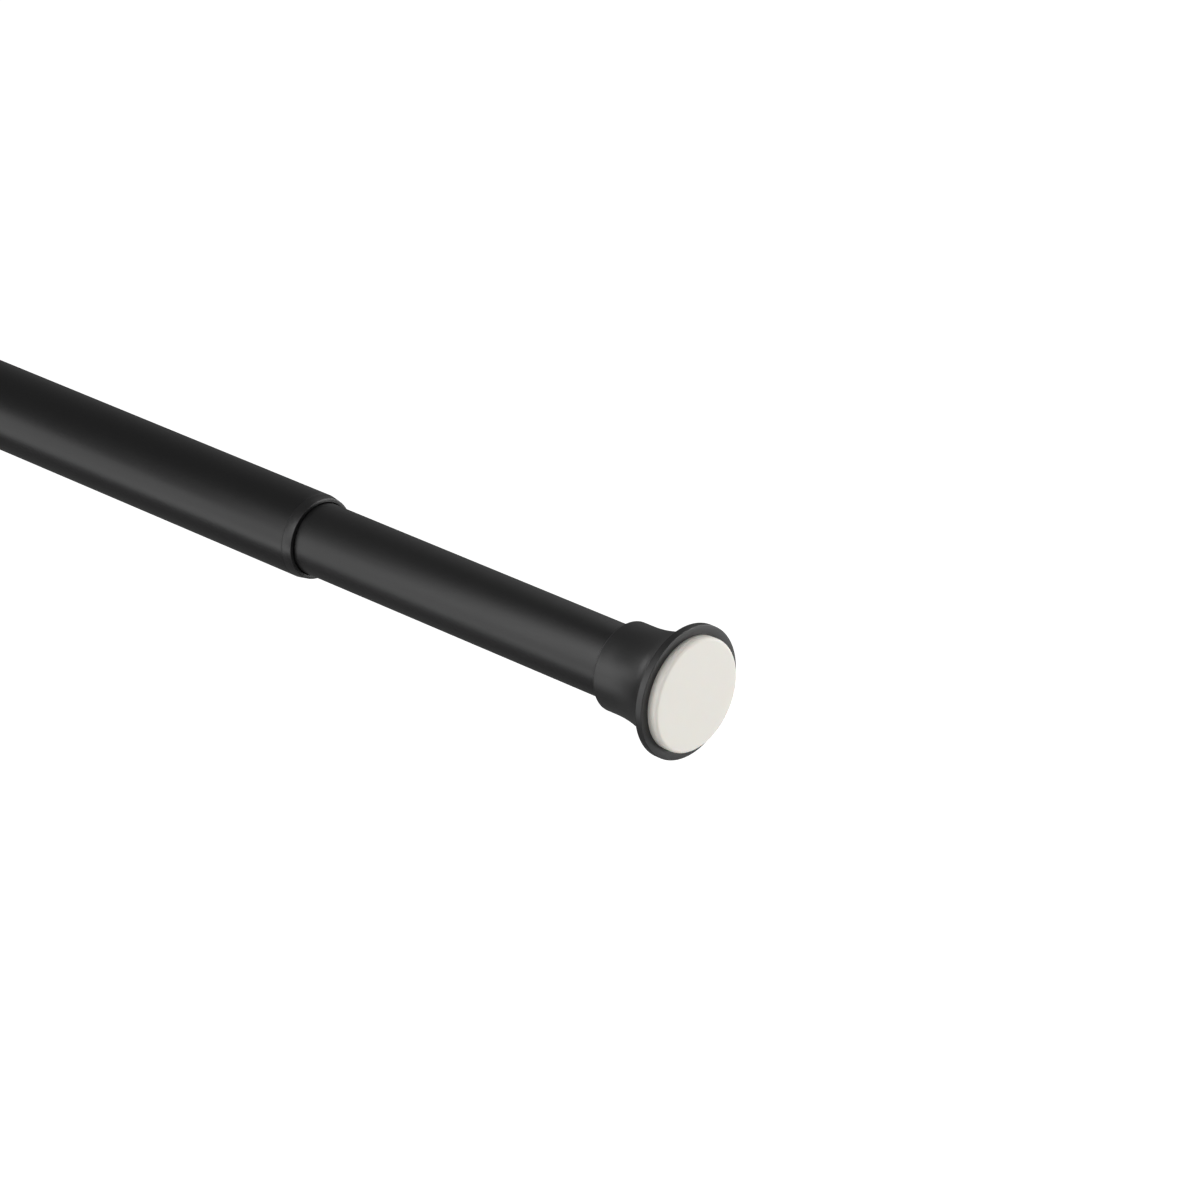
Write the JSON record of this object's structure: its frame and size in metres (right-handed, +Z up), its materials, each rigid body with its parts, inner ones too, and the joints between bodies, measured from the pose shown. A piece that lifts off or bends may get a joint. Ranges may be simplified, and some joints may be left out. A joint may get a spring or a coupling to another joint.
{
  "type": "shower curtain rod",
  "caption": "Matt black telescopic tension rod with flared end caps and rubber wall pads; twisting the inner tube drives a jack screw that presses the pads against the walls.",
  "frame": {"origin": "middle of the far pad's wall face", "axes": "+X along the rod to the near wall, +Z up"},
  "size_m": [0.8302, 0.0426, 0.0426],
  "materials": {
    "black_paint": "matt powder coat",
    "black_plastic": "matt moulded",
    "pad_rubber": "matt cream",
    "white_plastic": "natural moulded",
    "zinc_steel": "zinc plated"
  },
  "bodies": {
    "outer_section": {"outer_tube": "black_paint", "mouth_collar": "black_plastic", "far_cap": "black_plastic", "far_pad": "pad_rubber", "far_tube_plug": "white_plastic", "far_cap_screw": "zinc_steel"},
    "jack": {"jack_screw": "zinc_steel", "stop_clip": "zinc_steel", "expander_cone": "white_plastic", "expander_sleeve": "white_plastic", "sleeve_spring": "zinc_steel", "spring_washer": "zinc_steel", "retaining_nut": "zinc_steel"},
    "near_end": {"near_cap": "black_plastic", "near_pad": "pad_rubber"},
    "inner_section": {"inner_tube": "black_paint", "guide_bush": "white_plastic", "nut_plug": "white_plastic", "near_tube_plug": "white_plastic", "swivel_screw": "zinc_steel", "swivel_washer": "zinc_steel"}
  },
  "joints": [
    {"name": "length_adjust", "type": "slide", "parent": "outer_section", "child": "jack", "axis": [1, 0, 0], "range_m": [-0.1302, 0.3398]},
    {"name": "screw_travel", "type": "slide", "parent": "jack", "child": "near_end", "axis": [1, 0, 0], "range_m": [0, 0.03]},
    {"name": "twist", "type": "hinge", "parent": "near_end", "child": "inner_section", "pos_m": [0.8302, 0, 0], "axis": [1, 0, 0], "range_deg": [0, 3600]}
  ],
  "couplings": [
    {"joint": "screw_travel", "follows": "twist", "m_per_rad": 0.00047746}
  ]
}
